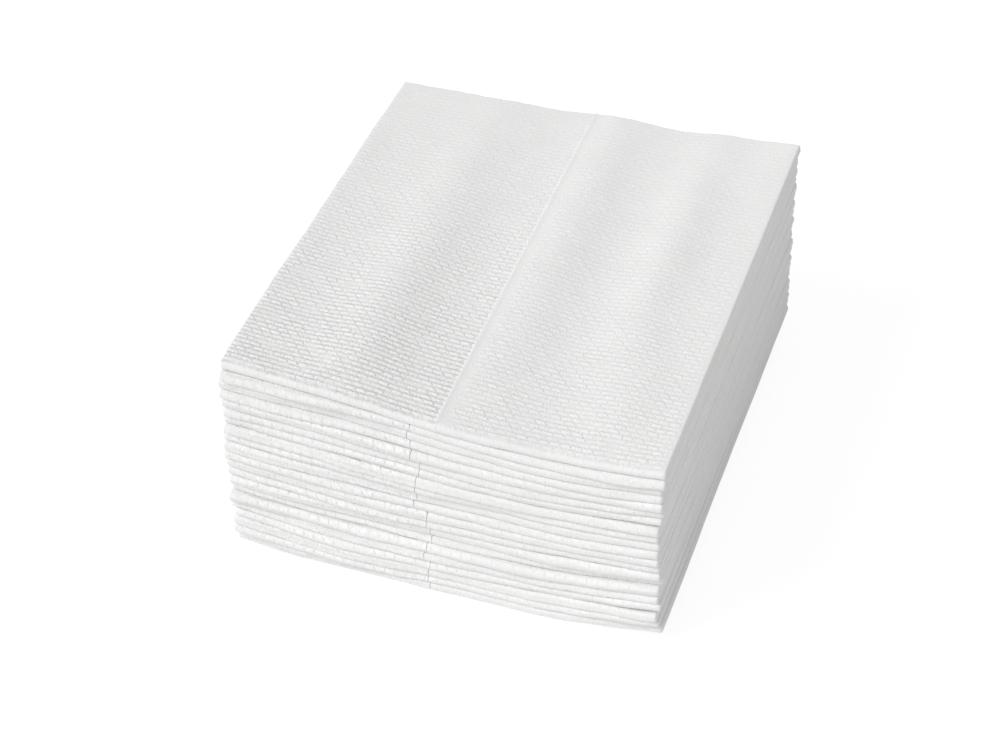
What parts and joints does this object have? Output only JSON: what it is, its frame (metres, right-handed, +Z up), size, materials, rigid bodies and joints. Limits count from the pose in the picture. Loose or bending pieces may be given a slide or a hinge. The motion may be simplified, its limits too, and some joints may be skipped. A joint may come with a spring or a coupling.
{
  "type": "stack of folded nonwoven wipes",
  "caption": "Square-edged pile of soft white cloths, each folded in from both sides to a seam and then in half, lying ready to be taken from the top for wiping.",
  "frame": {"origin": "centre of the underside, on the table that the stack lies on", "axes": "+Z up through the stack, +Y from the front folds to the cut edges at the back, +X to the right of someone who looks at the front folds"},
  "size_m": [0.1022, 0.1187, 0.056],
  "materials": {
    "nonwoven": "matte white spunlaced fibre web with a fine woven-look mesh of raised dashes and small holes"
  },
  "bodies": {
    "root": {"wipe_01": "nonwoven", "wipe_02": "nonwoven", "wipe_03": "nonwoven", "wipe_04": "nonwoven", "wipe_05": "nonwoven", "wipe_06": "nonwoven", "wipe_07": "nonwoven", "wipe_08": "nonwoven", "wipe_09": "nonwoven", "wipe_10": "nonwoven", "wipe_11": "nonwoven", "wipe_12": "nonwoven", "wipe_13": "nonwoven", "wipe_14": "nonwoven", "wipe_15": "nonwoven", "wipe_16": "nonwoven", "wipe_17": "nonwoven", "wipe_18": "nonwoven", "wipe_19": "nonwoven", "wipe_20": "nonwoven", "wipe_21": "nonwoven"}
  },
  "joints": []
}
